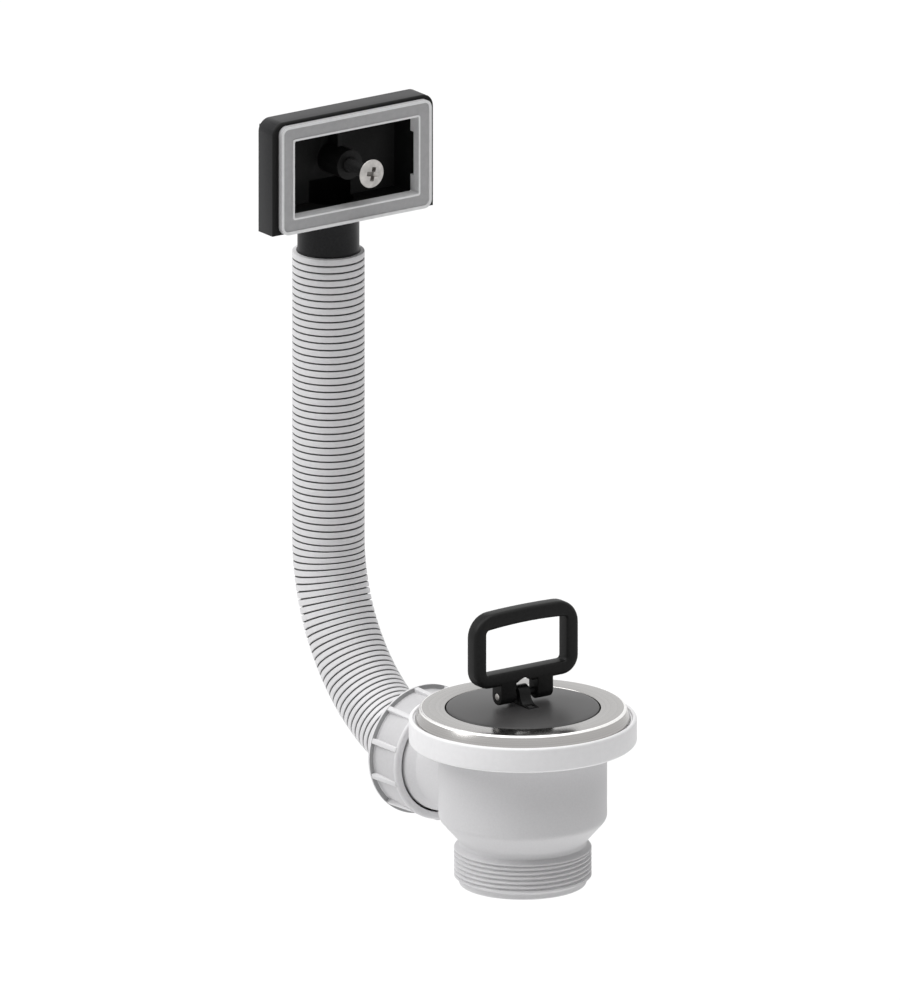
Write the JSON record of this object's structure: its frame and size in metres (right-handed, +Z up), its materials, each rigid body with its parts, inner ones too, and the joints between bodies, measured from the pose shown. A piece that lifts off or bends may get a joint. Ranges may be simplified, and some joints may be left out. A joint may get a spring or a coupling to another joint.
{
  "type": "sink waste with overflow",
  "caption": "Kitchen sink waste with a flanged strainer, plug with folding loop handle, threaded outlet and a corrugated hose up to a rectangular overflow head.",
  "frame": {"origin": "on the waste's axis, on the sink's surface under the flange", "axes": "+Z up out of the sink along the waste's axis, +Y towards the overflow head, +X to the right seen from the plug's front"},
  "size_m": [0.0794, 0.17, 0.2551],
  "materials": {
    "steel": "brushed, satin",
    "screw_steel": "bright, lightly worn",
    "brass": "turned",
    "grey_rubber": "matt, moulded",
    "black_rubber": "matt, moulded",
    "white_seal": "smooth, satin",
    "grey_plastic": "moulded, fine grain",
    "white_plastic": "moulded, satin",
    "hose_plastic": "blown, satin",
    "black_plastic": "moulded, satin"
  },
  "bodies": {
    "waste": {"waste_flange": "steel", "flange_seal": "grey_rubber", "body_seal": "white_seal", "waste_body": "grey_plastic", "insert_nut": "brass", "clamp_screw": "steel", "branch_nut": "white_plastic", "branch_seal": "grey_rubber", "overflow_hose": "hose_plastic", "overflow_head": "black_plastic", "boss_insert": "brass", "overflow_gasket": "grey_rubber", "overflow_screw": "screw_steel", "plug_disc": "black_plastic", "plug_seal": "black_rubber"},
    "handle": {"plug_handle": "black_plastic", "hinge_pin": "screw_steel"}
  },
  "joints": [
    {"name": "handle_fold", "type": "hinge", "parent": "waste", "child": "handle", "pos_m": [0, 0, 0.0099], "axis": [1, 0, 0], "range_deg": [-90, 90]}
  ]
}
